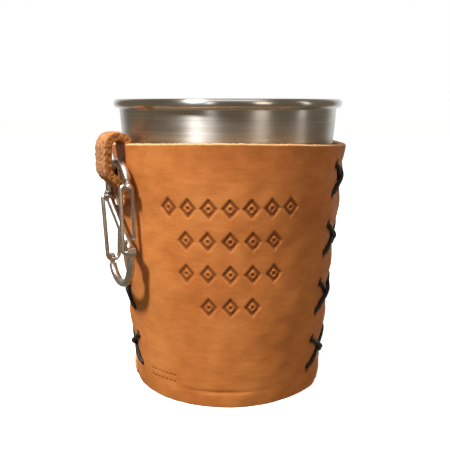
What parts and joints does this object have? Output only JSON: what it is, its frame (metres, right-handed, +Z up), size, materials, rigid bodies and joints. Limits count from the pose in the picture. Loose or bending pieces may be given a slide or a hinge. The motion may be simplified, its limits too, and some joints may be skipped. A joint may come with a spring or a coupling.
{
  "type": "leather-sleeved pint cup",
  "caption": "Steel pint cup with a rolled rim in a thick leather sleeve, laced at both sides, with a hanging loop and a double-ended spring clip.",
  "frame": {"origin": "on the cup's axis, in the plane that the cup and the sleeve stand on", "axes": "+Z up the cup's axis, -Y to the front of the sleeve, the laced seams near +X and -X, leaning to the front at the bottom"},
  "size_m": [0.0934, 0.0906, 0.112],
  "materials": {
    "cup_steel": "satin brushed round the wall, polished rolled rim",
    "leather": "natural vegetable-tanned grain side, semi-matt",
    "leather_flesh": "rough flesh side turned outwards",
    "lace_cord": "round waxed cord, black",
    "clip_steel": "tumbled satin",
    "gate_wire": "drawn wire"
  },
  "bodies": {
    "sleeve": {"front_panel": "leather", "back_panel": "leather", "hang_loop": "leather_flesh", "left_lace": "lace_cord", "right_lace": "lace_cord"},
    "cup": {"steel_cup": "cup_steel"},
    "clip": {"clip_body": "clip_steel"},
    "upper_gate": {"upper_gate": "gate_wire"},
    "lower_gate": {"lower_gate": "gate_wire"}
  },
  "joints": [
    {"name": "cup_lift", "type": "slide", "parent": "sleeve", "child": "cup", "axis": [0, 0, 1], "range_m": [0, 0.115]},
    {"name": "clip_swing", "type": "hinge", "parent": "sleeve", "child": "clip", "pos_m": [-0.03765, -0.02775, 0.0893], "axis": [-0.5707, 0.8211, 0], "range_deg": [0, 12]},
    {"name": "upper_gate_hinge", "type": "hinge", "parent": "clip", "child": "upper_gate", "pos_m": [-0.03251, -0.03575, 0.0579], "axis": [-0.8211, -0.5707, 0], "range_deg": [0, 5], "stiffness_Nm_per_rad": 0.02},
    {"name": "lower_gate_hinge", "type": "hinge", "parent": "clip", "child": "lower_gate", "pos_m": [-0.04336, -0.02015, 0.0761], "axis": [-0.8211, -0.5707, 0], "range_deg": [0, 12], "stiffness_Nm_per_rad": 0.02}
  ]
}
